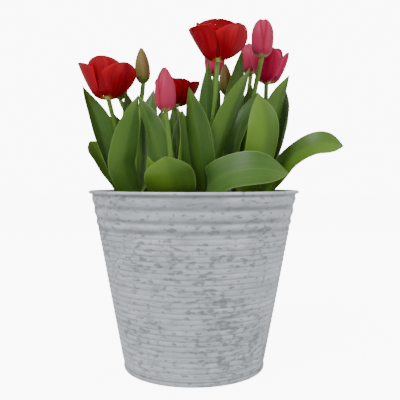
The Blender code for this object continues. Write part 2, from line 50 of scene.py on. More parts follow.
CAMERA_DROP = 0.034          # how far it looks down, in radians

# Studio
STUDIO_LIGHT = 0.90          # the white room's strength where it lights the pot
BACKDROP_GLOW = 10.0         # its strength where the camera sees it
PAPER_GLOW = 8.8             # the glow of the floor's paper, which only the camera sees
FLOOR_REACH = 6.0
FLOOR_HEIGHT = -0.0002
LIGHTS = (                   # name, place, size and power
    ("key", (-0.9, -1.1, 1.5), 0.7, 26.0),
    ("fill", (1.2, -0.8, 0.8), 1.0, 7.0),
    ("back", (0.3, 1.3, 1.1), 0.8, 9.0),
)
LIGHT_AIM = (0, 0, 0.17)

# Pot
RIM_RADIUS = 0.0999          # outside of the rolled rim
RIM_BEAD = 0.0015            # radius of the roll itself
POT_HEIGHT = 0.1689
WALL_TOP = POT_HEIGHT - 2 * RIM_BEAD
WALL_TOP_RADIUS = 0.0971     # outside of the wall, just under the rim
WALL_FOOT_RADIUS = 0.0664
WALL_THICKNESS = 0.0012
FOOT_SEAM = 0.0010           # how far the seam at the foot stands out
FOOT_SEAM_HEIGHT = 0.0040
WIDE_GROOVES = (0.1350, 0.1435, 0.1547, 0.1655)
WIDE_BAND_BULGE = 0.0007
BAND_DIP = 0.4               # depth of a wide groove, over the bulge of a band
RIB_PITCH = 0.0049
RIB_DEPTH = 0.0005
RIB_GROOVE = 0.16            # width of the groove between two ribs, over their pitch
FIRST_RIB = 0.1300
LAST_RIB = 0.0100
DENT_DEPTH = 0.0003
POT_SIDES = 180
OUTSIDE_STEP = 0.0007        # height between two rows of the wall
INSIDE_STEP = 0.0010
BURIED_STEP = 0.012          # the same, down where soil hides the inside
BURIED_INSIDE = 0.120
INSIDE_RELIEF = -0.4 * RIB_DEPTH

# Soil
GAP = 0.0003                 # between neighbouring pieces
SOIL_TOP = 0.1500
SOIL_RINGS = 44
SOIL_SIDES = 150
LUMP_HEIGHT = 0.0016
CRUMBS = 420
CRUMB_SIZE = (0.0006, 0.0020)
CRUMB_TURN = 6.283           # a full turn, in radians

# Stems and leaves
BULB_NOSE = 0.1460
STEM_RADIUS = 0.0027
STEM_TAPER = 0.82
STEM_SIDES = 18
STEM_STATIONS = 40
LEAF_THICKNESS = 0.0011
LEAF_EDGE = 0.0004
LEAF_TIP = 0.012             # half-width left at the tip, over the greatest
LEAF_STATIONS = 44
LEAF_STRIPS = 16
FOLDED = 0.4                 # how much of a leaf's channel is a fold, and how much an even curve
FOLD_ROUND = 0.006           # how round the fold is
FOLD_DROP = 0.0775           # sets the midrib back on its line
WAVE_TURN = 6.28             # a full turn of a blade's wave, in radians
STEM_SKIN, LEAF_SKIN = 0, 1  # material slots of a leafy stem

# Petals, pistil and stamens
PETAL_THICKNESS = 0.0008
PETAL_TRIM = 0.994           # keeps the ruffled tips inside the solid's reach
PETAL_EDGE = 0.0004
PETAL_TIP = 0.03             # half-width left at the tip, over the greatest
PETAL_STATIONS = 34
PETAL_STRIPS = 18
PETAL_ROOT = 0.0026
PETAL_SECTOR = 1.0           # the most that a petal wraps to each side, in radians
CREASE_DEPTH = 0.0005
NOTCH_DEPTH = 0.0016
WHORL_GAP = 0.0026
LAYER_GAP = 0.0006
BUD_STATIONS = 30
BUD_SIDES = 72
BUD_CREASE = 0.0004
PISTIL_SHARE = 0.42          # height of the pistil over the petals' length
STAMEN_SHARE = 0.26
LOBE_REACH = 0.0034
LOBE_RADII = (0.0013, 0.0014, 0.0014, 0.0013, 0.0011, 0.0007)
STALK_RADIUS = 0.0005
ANTHER_RADII = (0.0006, 0.0011, 0.0012, 0.0012, 0.0012, 0.0010, 0.0005)
PETAL_SKIN, PISTIL_SKIN, ANTHER_SKIN = 0, 1, 2    # material slots of a bloom

RED, PINK, ROSE, BUD_GREEN = "red", "pink", "rose", "green"

# How light passes through living leaves and stems
GREEN_TISSUE = dict(Subsurface_Weight=0.10, Subsurface_Radius=(0.5, 1.0, 0.2), Subsurface_Scale=0.0015)


def leaf(tip, via, width, face, attach=0.006, gutter=0.35, widest=0.5, base=0.35, blunt=1.35):
    """One leaf: its tip, the points its midrib passes, its full width and the way its upper side faces.

    attach is the height above the soil where it leaves the stem, gutter how deeply it is channelled,
    widest where along it the width is greatest, base its width at the stem as a share of the greatest,
    and blunt how late it narrows to its tip.
    """
    return dict(tip=tip, via=via, width=width, face=face, attach=attach, gutter=gutter,
                widest=widest, base=base, blunt=blunt)


def bloom(size, width, lean=(0, 0, 1), spin=0.0, shape="open", petals=None, colour=RED):
    """One bloom: its petals' length and width, the way its axis points and their turn about it.

    petals lists (turn, flare, length share, curl) for each petal of an open bloom, outer ones first:
    flare tips the whole petal outwards, in degrees, and curl its tip alone.
    """
    return dict(size=size, width=width, lean=lean, spin=spin, shape=shape, petals=petals, colour=colour)


# Each shape's slope from the axis, in degrees, where a petal starts, where its bowl ends and at its tip,
# with the share of its length at which the bowl ends and how late the rest of it bends
SHAPES = {
    "open": (88, 22, -8, 0.33, 1.0),
    "half": (88, 18, -10, 0.30, 1.3),
    "bud": (84, 8, -78, 0.30, 2.0),
    "pointed": (84, 14, -52, 0.28, 1.0),
    "tight": (70, 6, -44, 0.30, 1.0),
}
CLOSED = ("bud", "pointed", "tight")

# Where each tulip stands, where its stem passes and ends, its bloom and its leaves
TULIPS = {}
TULIPS["a"] = dict(
    foot=(-0.066, 0.008), via=[(-0.071, 0.004, 0.205)], top=(-0.081, -0.005, 0.2545),
    bloom=bloom(0.047, 0.05, lean=(0.01, 0.02, 1), petals=[(-172, 12, 0.96, 14), (-40, 27, 0.97, -31),
                (70, 18, 0.96, -14), (-106, 8, 1.03, -6), (14, 16, 0.92, -22), (130, 8, 0.98, -6)]),
    leaves=[
        leaf((-0.106, -0.004, 0.268), [(-0.08, 0.0, 0.19), (-0.092, -0.003, 0.232)], 0.026,
             (0.7, -0.7, 0.2), gutter=0.6),
        leaf((-0.103, 0.014, 0.217), [(-0.082, 0.016, 0.184)], 0.023, (0.5, -0.8, 0.6), base=0.5,
             widest=0.7, blunt=2.6),
        leaf((-0.084, 0.024, 0.248), [(-0.07, 0.018, 0.19), (-0.075, 0.024, 0.222)], 0.024,
             (0.3, 0.9, 0.1)),
    ])
TULIPS["b"] = dict(
    foot=(-0.052, -0.03), via=[(-0.053, -0.022, 0.205)], top=(-0.0492, 0.006, 0.272),
    bloom=bloom(0.04, 0.0148, lean=(-0.06, 0, 1), spin=20, shape="tight", colour=BUD_GREEN),
    leaves=[
        leaf((-0.048, -0.052, 0.252), [(-0.0625, -0.043, 0.188), (-0.0605, -0.048, 0.205),
             (-0.053, -0.053, 0.236)], 0.0245, (-0.3, 0.9, 0.3), gutter=0.3, widest=0.42, base=0.6),
        leaf((-0.039, 0.004, 0.266), [(-0.044, -0.016, 0.19), (-0.044, -0.006, 0.23)], 0.024,
             (-0.3, -0.9, 0.2), attach=0.012),
    ])
TULIPS["c"] = dict(
    foot=(-0.018, -0.05), via=[(-0.02, -0.05, 0.2)], top=(-0.024, -0.05, 0.238),
    bloom=bloom(0.048, 0.019, lean=(-0.02, 0, 1), spin=-62, shape="pointed", colour=PINK),
    leaves=[
        leaf((-0.05, -0.034, 0.255), [(-0.024, -0.046, 0.185), (-0.036, -0.042, 0.222)], 0.022,
             (0.5, 0.8, 0.3), attach=0.012),
        leaf((-0.014, -0.036, 0.247), [(-0.011, -0.04, 0.2)], 0.013, (-0.9, -0.2, 0.1), attach=0.02),
        leaf((-0.0225, -0.079, 0.198), [(-0.0185, -0.067, 0.168), (-0.0205, -0.075, 0.183)], 0.043,
             (0, 0.85, 0.5), gutter=0.25, widest=0.5, base=0.7, blunt=2.1),
        leaf((-0.039, -0.064, 0.199), [(-0.03, -0.059, 0.174)], 0.015, (0.1, -0.9, 0.3), base=0.5,
             blunt=1.0),
    ])
TULIPS["d"] = dict(
    foot=(-0.016, 0.03), via=[(-0.018, 0.033, 0.205)], top=(-0.02, 0.036, 0.253),
    bloom=bloom(0.037, 0.044, lean=(0.06, 0.02, 1), spin=25, petals=[(-146, 18, 1.0, -6),
                (-34, 20, 1.0, 0), (90, 16, 1.0, 0), (-90, 10, 0.94, 0), (30, 10, 0.96, 0),
                (150, 10, 0.96, 0)]),
    leaves=[
        leaf((-0.012, 0.018, 0.248), [(-0.01, 0.017, 0.19)], 0.025, (0.1, -1, 0.3), attach=0.012),
        leaf((-0.05, 0.062, 0.236), [(-0.03, 0.043, 0.195)], 0.026, (0.5, -0.7, 0.5)),
    ])
TULIPS["e"] = dict(
    foot=(0.012, -0.015), via=[(0.015, -0.02, 0.205), (0.0195, -0.024, 0.25)],
    top=(0.022, -0.022, 0.287),
    bloom=bloom(0.05, 0.057, lean=(0.01, -0.02, 1), petals=[(-148, 12, 0.79, 26), (-40, 36, 0.92, -46),
                (90, 4, 1.12, -10), (-94, 8, 0.7, 0), (26, 12, 0.98, -18), (150, 8, 0.92, 4)]),
    leaves=[
        leaf((-0.004, -0.042, 0.261), [(0.008, -0.032, 0.19), (0.003, -0.04, 0.225)], 0.024,
             (0.3, 0.9, 0.2), gutter=0.3),
        leaf((0.051, -0.028, 0.28), [(0.019, -0.026, 0.2), (0.035, -0.03, 0.243)], 0.022,
             (-0.5, 0.8, 0.2), attach=0.014),
        leaf((0.082, -0.062, 0.184), [(0.013, -0.046, 0.172), (0.03, -0.06, 0.184),
             (0.056, -0.067, 0.188)], 0.036, (-0.1, -0.85, 0.55), gutter=0.12, base=0.6, blunt=2.0),
    ])
TULIPS["f"] = dict(
    foot=(0.048, -0.016), via=[(0.048, -0.01, 0.205), (0.057, -0.002, 0.258)],
    top=(0.065, 0.0, 0.296),
    bloom=bloom(0.0465, 0.0215, lean=(0.03, 0, 1), spin=-30, shape="bud", colour=PINK),
    leaves=[
        leaf((0.058, -0.038, 0.256), [(0.058, -0.034, 0.19), (0.063, -0.04, 0.225)], 0.029,
             (-0.1, 0.9, 0.3), gutter=0.3, widest=0.6, base=0.3, blunt=1.6),
        leaf((0.061, -0.008, 0.262), [(0.038, -0.01, 0.2), (0.046, -0.011, 0.235)], 0.02,
             (-0.6, -0.7, 0.2), attach=0.014),
    ])
TULIPS["g"] = dict(
    foot=(0.016, 0.026), via=[(0.022, 0.027, 0.205)], top=(0.032, 0.025, 0.264),
    bloom=bloom(0.036, 0.013, lean=(-0.05, 0, 1), spin=0, shape="tight", colour=BUD_GREEN),
    leaves=[
        leaf((0.047, 0.014, 0.307), [(0.03, 0.018, 0.2), (0.04, 0.015, 0.255)], 0.022, (-0.3, 0.9, 0.2),
             attach=0.01),
        leaf((0.014, 0.006, 0.294), [(0.014, 0.01, 0.2), (0.012, 0.008, 0.25)], 0.018, (0.2, 0.9, 0.1),
             attach=0.01),
    ])
TULIPS["h"] = dict(
    foot=(0.002, 0.066), via=[(0.008, 0.064, 0.205)], top=(0.0215, 0.06, 0.289),
    bloom=bloom(0.043, 0.022, lean=(0, 0.03, 1), spin=40, shape="bud", colour=PINK),
    leaves=[
        leaf((0.024, 0.044, 0.292), [(0.01, 0.054, 0.21), (0.018, 0.05, 0.255)], 0.022, (0.1, 0.9, 0.1)),
        leaf((-0.024, 0.097, 0.264), [(-0.008, 0.077, 0.195), (-0.016, 0.089, 0.23)], 0.032,
             (0.2, -0.9, 0.3)),
        leaf((0.032, 0.096, 0.24), [(0.014, 0.076, 0.19), (0.023, 0.088, 0.218)], 0.028,
             (-0.3, -0.9, 0.3)),
    ])
TULIPS["i"] = dict(
    foot=(0.046, 0.05), via=[(0.05, 0.055, 0.205)], top=(0.06, 0.063, 0.2915),
    bloom=bloom(0.042, 0.022, lean=(-0.05, 0.03, 1), spin=15, shape="bud", colour=PINK),
    leaves=[
        leaf((0.058, 0.032, 0.276), [(0.05, 0.038, 0.215)], 0.025, (0.1, 0.9, 0.1)),
        leaf((0.066, 0.094, 0.25), [(0.052, 0.066, 0.195), (0.058, 0.082, 0.225)], 0.03,
             (-0.3, -0.9, 0.3)),
        leaf((0.044, 0.07, 0.302), [(0.043, 0.062, 0.205), (0.044, 0.067, 0.255)], 0.025,
             (-0.1, -1.0, 0.1)),
    ])
TULIPS["j"] = dict(
    foot=(0.066, 0.014), via=[(0.07, 0.02, 0.205)], top=(0.073, 0.032, 0.2755),
    bloom=bloom(0.042, 0.036, lean=(0.1, 0, 1), spin=-20, shape="half", colour=ROSE,
                petals=[(-84, 4, 1.0, -4), (22, 8, 1.0, 0), (150, 8, 0.94, 0), (-30, 0, 1.0, 0),
                (84, 0, 1.0, 0), (-156, 2, 0.96, 0)]),
    leaves=[
        leaf((0.092, 0.004, 0.28), [(0.072, 0.006, 0.205), (0.079, 0.004, 0.25)], 0.025,
             (-0.4, 0.8, 0.3), attach=0.012),
        leaf((0.09, 0.02, 0.272), [(0.082, 0.018, 0.2), (0.092, 0.018, 0.243)], 0.024, (-0.9, -0.3, 0.2),
             attach=0.01),
        leaf((0.135, -0.036, 0.209), [(0.077, -0.006, 0.178), (0.09, -0.02, 0.198),
             (0.112, -0.032, 0.211)], 0.026, (-0.3, -0.8, 0.6), gutter=0.2, widest=0.7, base=0.35,
             blunt=2.2),
        leaf((0.098, 0.052, 0.252), [(0.078, 0.03, 0.195), (0.09, 0.042, 0.228)], 0.026,
             (-0.7, -0.5, 0.3)),
    ])
TULIPS["k"] = dict(
    foot=(-0.048, 0.044), via=[(-0.052, 0.044, 0.205)], top=(-0.077, 0.044, 0.262),
    bloom=bloom(0.036, 0.015, lean=(0, 0.05, 1), spin=0, shape="tight", colour=BUD_GREEN),
    leaves=[
        leaf((-0.069, 0.026, 0.268), [(-0.056, 0.034, 0.2)], 0.024, (0.1, 0.9, 0.1)),
        leaf((-0.088, 0.076, 0.235), [(-0.062, 0.056, 0.19), (-0.076, 0.068, 0.216)], 0.03,
             (0.6, -0.6, 0.4)),
        leaf((-0.036, 0.079, 0.256), [(-0.044, 0.058, 0.19), (-0.039, 0.07, 0.224)], 0.028,
             (0.1, -0.9, 0.2)),
    ])

# How yellow and light each leaf is, from 0, dark and bluish, to 1
TINTS = {
    "a": (0.30, 0.80, 0.35), "b": (0.42, 0.25), "c": (0.40, 0.62, 0.74, 1.00), "d": (0.35, 0.40),
    "e": (0.34, 0.48, 0.24), "f": (0.80, 0.25), "g": (0.50, 0.20), "h": (0.25, 0.40, 0.45),
    "i": (0.25, 0.40, 0.15), "j": (0.50, 0.25, 0.60, 0.40), "k": (0.30, 0.40, 0.45),
}


def smooth_curve(points, count):
    """count points, evenly spaced, on a Catmull-Rom curve through the given points."""
    points = [Vector(p) for p in points]
    padded = [2 * points[0] - points[1], *points, 2 * points[-1] - points[-2]]
    fine = []
    steps = 24
    for k in range(1, len(padded) - 2):
        a, b, c, d = padded[k - 1:k + 3]
        for i in range(steps):
            t = i / steps
            fine.append(0.5 * (2 * b + (c - a) * t + (2 * a - 5 * b + 4 * c - d) * t ** 2
                               + (3 * b - a - 3 * c + d) * t ** 3))
    fine.append(points[-1])
    reach = [0.0]
    for a, b in zip(fine, fine[1:]):
        reach.append(reach[-1] + (b - a).length)
    spaced, k = [], 0
    for i in range(count):
        goal = reach[-1] * i / (count - 1)
        while k < len(reach) - 2 and reach[k + 1] < goal:
            k += 1
        span = reach[k + 1] - reach[k]
        spaced.append(fine[k].lerp(fine[k + 1], (goal - reach[k]) / span if span else 0.0))
    return spaced


def tangents(line):
    """The way a line runs at each of its points."""
    last = len(line) - 1
    return [(line[min(k + 1, last)] - line[max(k - 1, 0)]).normalized() for k in range(last + 1)]


def point_at_height(line, height):
    """Where the line passes a height."""
    for a, b in zip(line, line[1:]):
        if b.z >= height:
            return a.lerp(b, (height - a.z) / (b.z - a.z))
    return line[-1]


def at(out, reach, height):
    """The point at a reach along a level direction, and at a height."""
    return out * reach + Vector((0, 0, height))


class Shape:
    """Bodies gathered for one piece, with each point's place on its blade and its tint."""

    def __init__(self):
        self.points, self.faces, self.places, self.tints, self.slots = [], [], [], [], []

    def add(self, points, faces, places, tint, slot):
        """One more body, all in one tint and in the finish of one material slot."""
        start = len(self.points)
        self.points += [tuple(p) for p in points]
        self.faces += [tuple(i + start for i in face) for face in faces]
        self.places += places
        self.tints += [tint] * len(points)
        self.slots += [slot] * len(faces)

    def make(self, name, finishes, sharp=50.0):
        """The bodies as one object, shaded smooth but for edges of more than sharp degrees."""
        mesh = bpy.data.meshes.new(name)
        mesh.from_pydata(self.points, [], self.faces)
        mesh.update()
        mesh.shade_smooth()
        mesh.set_sharp_from_angle(angle=radians(sharp))
        for finish in finishes:
            mesh.materials.append(finish)
        mesh.polygons.foreach_set("material_index", self.slots)
        layer = mesh.uv_layers.new(name="UVMap")
        for loop in mesh.loops:
            layer.data[loop.index].uv = self.places[loop.vertex_index]
        tint = mesh.attributes.new("tint", "FLOAT", "POINT")
        tint.data.foreach_set("value", self.tints)
        made = bpy.data.objects.new(name, mesh)
        bpy.context.scene.collection.objects.link(made)
        return made


def ring(radius, height, sides):
    """Points of a level circle round Z."""
    angles = [2 * pi * k / sides for k in range(sides)]
    return [(radius * cos(angle), radius * sin(angle), height) for angle in angles]


def ring_places(rows, sides):
    """Each point's place round its ring and along the rows of rings, from 0 to 1."""
    return [(k / sides, row / (rows - 1)) for row in range(rows) for k in range(sides)]


def ring_faces(rows, sides):
    """Faces of a closed body of rings, with a cap on its first and its last."""
    faces = []
    for row in range(rows - 1):
        for k in range(sides):
            a, b = row * sides + k, row * sides + (k + 1) % sides
            faces.append((a, b, b + sides, a + sides))
    last = (rows - 1) * sides
    return [*faces, tuple(reversed(range(sides))), tuple(range(last, last + sides))]


def turned(profile, sides):
    """Points, faces and places of a profile of (radius, height), from the foot up, turned about Z."""
    points = [point for radius, height in profile for point in ring(radius, height, sides)]
    return points, ring_faces(len(profile), sides), ring_places(len(profile), sides)


def tube(line, radii, sides):
    """Points, faces and places of a closed tube along a line."""
    points = []
    across = Vector((0, 1, 0))
    for centre, along, radius in zip(line, tangents(line), radii):
        side = across.cross(along).normalized()
        front = along.cross(side)
        for k in range(sides):
            angle = 2 * pi * k / sides
            points.append(centre + radius * (cos(angle) * side + sin(angle) * front))
    return points, ring_faces(len(line), sides), ring_places(len(line), sides)


def sheet(rows, thickness, edge):
    """Points, faces and places of a thin closed blade, from rows of (middle point, normal)."""
    across = len(rows[0])
    strips, count = across - 1, len(rows) * across
    points, places = [], []
    for sign in (0.5, -0.5):
        for j, row in enumerate(rows):
            for k, (point, normal) in enumerate(row):
                outward = abs(2 * k / strips - 1) ** 2
                points.append(point + normal * sign * (thickness + (edge - thickness) * outward))
                places.append((k / strips, j / (len(rows) - 1)))
    faces = []
    for row in range(len(rows) - 1):
        for a in range(row * across, row * across + strips):
            upper = (a, a + 1, a + across + 1, a + across)
            faces += [upper, tuple(i + count for i in reversed(upper))]
    last = count - across
    rim = [*range(strips), *range(strips, last + strips, across), *range(last + strips, last, -1),
           *range(last, 0, -across)]
    faces += [(b, a, a + count, b + count) for a, b in zip(rim, rim[1:] + rim[:1])]
    return points, faces, places


# Leaves and stems

def leaf_outline(share, widest, base, blunt):
    """Half-width of a leaf at a share of its length, over its greatest half-width."""
    if share < widest:
        return base + (1 - base) * sin(pi / 2 * share / widest)
    rest = (share - widest) / (1 - widest)
    return max(LEAF_TIP, cos(pi / 2 * rest ** blunt))


def leaf_blade(line, data, wave):
    """The leaf as a channelled blade along its midrib, its edges gently waved."""
    face = Vector(data["face"]).normalized()
    phase, turns = wave.uniform(0, WAVE_TURN), wave.uniform(1.6, 2.6)
    lift = wave.uniform(0.0006, 0.0014)
    rows = []
    for k, (centre, along) in enumerate(zip(line, tangents(line))):
        share = k / (len(line) - 1)
        up = (face - along * face.dot(along)).normalized()
        side = along.cross(up)
        half = data["width"] / 2 * leaf_outline(share, data["widest"], data["base"], data["blunt"])
        depth = data["gutter"] * (1.6 - share)
        ease = sin(pi * share)
        row = []
        for i in range(LEAF_STRIPS + 1):
            u = 2 * i / LEAF_STRIPS - 1
            fold = sqrt(u * u + FOLD_ROUND)
            channel = FOLDED * (fold - FOLD_DROP) + (1 - FOLDED) * u * u
            slope = depth * (FOLDED * u / fold + 2 * (1 - FOLDED) * u)
            swing = sin(phase + turns * WAVE_TURN * share + (0.9 if u > 0 else -0.7))
            waved = lift * ease * u * u * swing
            place = centre + side * half * u + up * (half * depth * channel + waved)
            row.append((place, (up - side * slope).normalized()))
        rows.append(row)
    return sheet(rows, LEAF_THICKNESS, LEAF_EDGE)


def make_leafy_stem(name, tulip, finishes):
    """A stem, slightly uneven and thinner towards its bloom, with its leaves."""
    shape = Shape()
    foot = (*tulip["foot"], BULB_NOSE + GAP)
    line = smooth_curve([foot, *tulip["via"], tulip["top"]], STEM_STATIONS)
    radii = []
    for k in range(STEM_STATIONS):
        share = k / (STEM_STATIONS - 1)
        radii.append(STEM_RADIUS * (1 + (STEM_TAPER - 1) * share) * (0.97 + 0.03 * sin(9 * share)))
    shape.add(*tube(line, radii, STEM_SIDES), 0.5, STEM_SKIN)
    wave = random.Random("leaves " + name)
    for data, tint in zip(tulip["leaves"], TINTS[name]):
        start = point_at_height(line, SOIL_TOP + data["attach"])
        midrib = smooth_curve([start, *data["via"], data["tip"]], LEAF_STATIONS)
        shape.add(*leaf_blade(midrib, data, wave), tint, LEAF_SKIN)
    made = shape.make("leafy_stem_fine_" + name, finishes)
    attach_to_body(made, "root")
    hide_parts("leafy_stem_" + name)


# Blooms

def petal_outline(share):
    """Half-width of a petal at a share of its length, over its greatest half-width."""
    widest = 0.58
    if share < widest:
        return 0.16 + 0.84 * sin(pi / 2 * share / widest)
    rest = (share - widest) / (1 - widest)
    return max(PETAL_TIP, sqrt(max(0.0, 1 - rest ** 2.3)))


def petal_profile(size, slopes, flare, curl, shares):
    """(radius, height, slope) at shares of the way up a petal's middle, from the receptacle out."""
    steps = 240
    start, middle, end, turn, late = slopes
    radius, height = PETAL_ROOT, 0.0
    found = [(radius, height, radians(start))]
    for k in range(steps):
        share = (k + 0.5) / steps
        if share < turn:
            t = share / turn
            slope = start + (middle + flare - start) * t ** 1.3
        else:
            t = (share - turn) / (1 - turn)
            slope = middle + flare + (end + curl - middle) * t ** late
        slope = radians(slope)
        radius += sin(slope) * size / steps
        height += cos(slope) * size / steps
        found.append((max(radius, 0.0004), height, slope))
    return [found[round(share * steps)] for share in shares]


def petal_shares():
    """Stations along a petal, closer together towards its rounded tip."""
    crowding = 1.5
    shares = []
    for k in range(PETAL_STATIONS):
        t = k / (PETAL_STATIONS - 1)
        shares.append(1 - (1 - t) ** crowding if t > 0.5 else t * (1 - 0.5 ** crowding) * 2)
    return shares


def petal_blade(data, turn, flare, share, curl, layer, wave):
    """One cupped petal, in the bloom's own frame: +Z along its axis, the receptacle at the origin."""
    shares = petal_shares()
    profile = petal_profile(data["size"] * share * PETAL_TRIM, SHAPES[data["shape"]], flare, curl, shares)
    out = Vector((cos(turn), sin(turn), 0))
    across = Vector((-sin(turn), cos(turn), 0))
    inset = WHORL_GAP * (layer // 3) + LAYER_GAP * (layer % 3)
    phase, lift = wave.uniform(0, WAVE_TURN), wave.uniform(0.0006, 0.0011)
    notched = wave.uniform(0.5, 1.0)
    rows = []
    for way, (radius, height, slope) in zip(shares, profile):
        outward = at(out, cos(slope), -sin(slope))
        upward = at(out, sin(slope), cos(slope))
        bend = max(radius - inset, 0.0012)
        half = min(data["width"] / 2 * petal_outline(way), bend * PETAL_SECTOR)
        centre = at(out, radius, height) - outward * inset
        row = []
        for i in range(PETAL_STRIPS + 1):
            u = 2 * i / PETAL_STRIPS - 1
            angle = u * half / bend
            ruffle = lift * way ** 2 * u * u * sin(phase + 7 * way + 2.2 * u)
            crease = -CREASE_DEPTH * exp(-(u / 0.10) ** 2) * min(1.0, 2 * way)
            notch = -NOTCH_DEPTH * notched * way ** 8 * (1 - abs(u)) ** 2
            place = centre + across * bend * sin(angle) - outward * bend * (1 - cos(angle))
            normal = (outward * cos(angle) + across * sin(angle)).normalized()
            row.append((place + outward * (ruffle + crease) + upward * notch, normal))
        rows.append(row)
    return sheet(rows, PETAL_THICKNESS, PETAL_EDGE)


def add_pistil(shape, height):
    """A thick green pistil with three lobes at its head."""
    column = [(0.0016, 0.004), (0.0021, 0.010), (0.0018, height), (0.0010, height + 0.0006)]
    shape.add(*turned(column, 12), 0.5, PISTIL_SKIN)
    for k in range(3):
        angle = radians(120 * k)
        tip = Vector((LOBE_REACH * cos(angle), LOBE_REACH * sin(angle), height + 0.0010))
        bend = tip * 0.6 + Vector((0, 0, 0.4 * height + 0.0006))
        line = smooth_curve([(0, 0, height - 0.0006), bend, tip], len(LOBE_RADII))
        shape.add(*tube(line, LOBE_RADII, 10), 0.7, PISTIL_SKIN)


def add_stamens(shape, height):
    """Six thin stalks, each with a dark anther on its end."""
    for k in range(6):
        angle = radians(60 * k + 20)
        out = Vector((cos(angle), sin(angle), 0))
        stalk = smooth_curve([at(out, 0.0022, 0.003), at(out, 0.0056, height)], 6)
        shape.add(*tube(stalk, [STALK_RADIUS] * len(stalk), 8), 0.4, PISTIL_SKIN)
        foot = stalk[-1]
        line = smooth_curve([foot, foot + at(out, 0.0010, 0.006), foot + at(out, 0.0014, 0.0115)],
                            len(ANTHER_RADII))
        shape.add(*tube(line, ANTHER_RADII, 8), 0, ANTHER_SKIN)


def bud_core(shares, profile, scale, spin):
    """The inner petals of a closed bud, as one body in three soft bulges."""
    points, places = [], []
    for share, (radius, height, _) in zip(shares, profile):
        for i in range(BUD_SIDES):
            angle = 2 * pi * i / BUD_SIDES
            away = abs((angle * 3 / (2 * pi)) % 1 - 0.5) * 2
            inner = radius * scale * (0.86 + 0.05 * (1 - away ** 2) * min(1.0, 3 * share))
            turn = angle + spin
            points.append((inner * cos(turn), inner * sin(turn), height * 0.985))
            places.append((0.5 + 0.5 * away, share))
    return points, ring_faces(len(shares), BUD_SIDES), places


def bud_petal(shares, profile, scale, middle, lift):
    """An outer petal of a closed bud, wrapped round its core and drawn in towards its edges."""
    rows = []
    for share, (radius, height, slope) in zip(shares, profile):
        edge = radians(66 - 34 * share ** 2) * sqrt(max(0.0, 1 - share ** 7)) + 0.02
        row = []
        for i in range(PETAL_STRIPS + 1):
            u = 2 * i / PETAL_STRIPS - 1
            turn = middle + u * edge
            out = Vector((cos(turn), sin(turn), 0))
            reach = radius * scale * (0.965 - 0.05 * abs(u) ** 3 + 0.012 * lift * u)
            reach -= BUD_CREASE * exp(-(u / 0.12) ** 2)
            row.append((at(out, reach, height), at(out, cos(slope), -sin(slope)).normalized()))
        rows.append(row)
    return sheet(rows, PETAL_THICKNESS, PETAL_EDGE)


def add_bud(shape, data, wave):
    """A closed bud: its core under three overlapping outer petals."""
    shares = [k / (BUD_STATIONS - 1) for k in range(BUD_STATIONS)]
    profile = petal_profile(data["size"], SHAPES[data["shape"]], 0, 0, shares)
    scale = data["width"] / 2 / max(radius for radius, _, _ in profile)
    spin = radians(data["spin"])
    shape.add(*bud_core(shares, profile, scale, spin), 0.35, PETAL_SKIN)
    for k in range(3):
        lift = wave.uniform(-0.3, 0.3)
        blade = bud_petal(shares, profile, scale, spin + radians(120 * k), lift)
        shape.add(*blade, 0.5 + 0.2 * lift, PETAL_SKIN)


def add_open_bloom(shape, data, wave):
    """An open bloom: two whorls of petals on the knob of its receptacle, round the pistil and stamens."""
    knob = [(PETAL_ROOT * 0.9, -0.0006), (PETAL_ROOT * 1.1, 0.0), (0.0052, 0.0012), (0.0054, 0.0026),
            (0.0046, 0.0038), (0.0018, 0.0052)]
    shape.add(*turned(knob, STEM_SIDES), 0.5, PISTIL_SKIN)
    for k, (turn, flare, share, curl) in enumerate(data["petals"]):
        blade = petal_blade(data, radians(turn + data["spin"]), flare, share, curl, k, wave)
        shape.add(*blade, wave.uniform(0.3, 0.7), PETAL_SKIN)
    add_pistil(shape, PISTIL_SHARE * data["size"])
    add_stamens(shape, STAMEN_SHARE * data["size"])


def make_bloom(name, tulip, finishes):
    """A bud or an open bloom, set on the end of its stem and leaned."""
    data = tulip["bloom"]
    wave = random.Random("bloom " + name)
    shape = Shape()
    if data["shape"] in CLOSED:
        add_bud(shape, data, wave)
    else:
        add_open_bloom(shape, data, wave)
    made = shape.make("bloom_fine_" + name, finishes)
    axis = Vector(data["lean"]).normalized()
    turn = Vector((0, 0, 1)).rotation_difference(axis).to_matrix().to_4x4()
    made.data.transform(Matrix.Translation(Vector(tulip["top"]) + axis * GAP) @ turn)
    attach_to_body(made, "root")
    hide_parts("bloom_" + name)


# Pot and soil

def wall_radius(height):
    """Radius of the pot's outer wall before its bands and ribs."""
    return WALL_FOOT_RADIUS + (WALL_TOP_RADIUS - WALL_FOOT_RADIUS) * (height / WALL_TOP)


def band_relief(height):
    """How far the outer wall stands out at a height: the wide bands below the rim, then the fine ribs."""
    for low, high in zip(WIDE_GROOVES, WIDE_GROOVES[1:]):
        if low <= height <= high:
            away = abs(2 * (height - low) / (high - low) - 1)
            return WIDE_BAND_BULGE * (cos(pi * away) * (1 + BAND_DIP) / 2 + (1 - BAND_DIP) / 2)
    if height > WIDE_GROOVES[-1]:
        return -BAND_DIP * WIDE_BAND_BULGE
    if height > FIRST_RIB + RIB_PITCH / 2 or height < LAST_RIB:
        return 0.0
    phase = ((height - FIRST_RIB) / RIB_PITCH) % 1.0
    return RIB_DEPTH * (0.5 - exp(-((min(phase, 1 - phase)) / RIB_GROOVE) ** 2))


def foot_profile():
    """(radius, height) round the crimped seam at the foot of the pot, from its flat base up."""
    seam = WALL_FOOT_RADIUS + FOOT_SEAM
    neck = wall_radius(FOOT_SEAM_HEIGHT) + 0.0002
    return [(seam - 0.0010, 0.0), (seam - 0.0002, 0.0003), (seam, 0.0010), (seam + 0.0003, 0.0022),
            (seam + 0.0002, FOOT_SEAM_HEIGHT - 0.0008), (neck, FOOT_SEAM_HEIGHT - 0.0002)]


